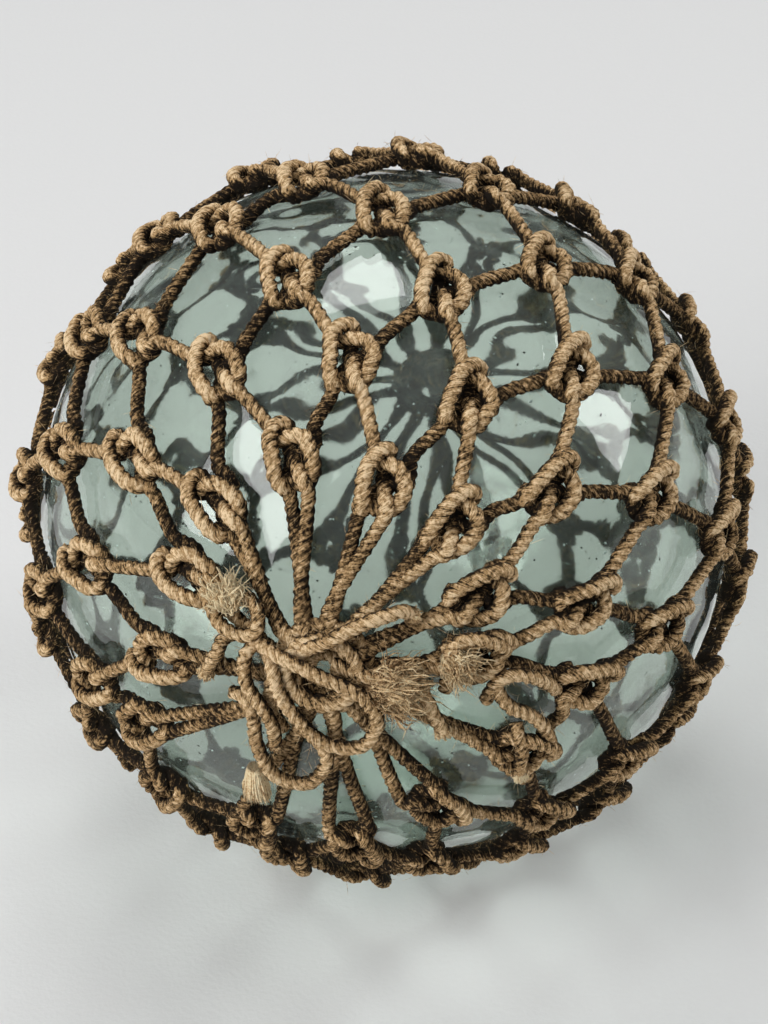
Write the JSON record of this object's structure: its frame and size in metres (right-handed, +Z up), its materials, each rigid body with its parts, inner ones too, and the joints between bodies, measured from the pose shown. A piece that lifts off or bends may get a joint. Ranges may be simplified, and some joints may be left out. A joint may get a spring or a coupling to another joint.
{
  "type": "glass float ball in a rope net",
  "caption": "Hollow blown glass fishing float, a sealed ball held in a knotted rope net that is gathered and tied at one end, used as a net float and as an ornament.",
  "frame": {"origin": "on the surface that the float rests on, under the middle of its box", "axes": "+Z up; the gather faces -Y and slightly -X, and rises a little above the horizontal"},
  "size_m": [0.362, 0.3644, 0.3588],
  "materials": {
    "glass": "clear pale aqua green, with seeds and slight ripples",
    "net_rope": "weathered brown laid rope, worn tan on top and nearly black below",
    "tie_rope": "weathered brown laid rope with straw-coloured frayed ends"
  },
  "bodies": {
    "root": {"glass_ball": "glass", "rope_net": "net_rope", "gathering_rope": "tie_rope"}
  },
  "joints": []
}
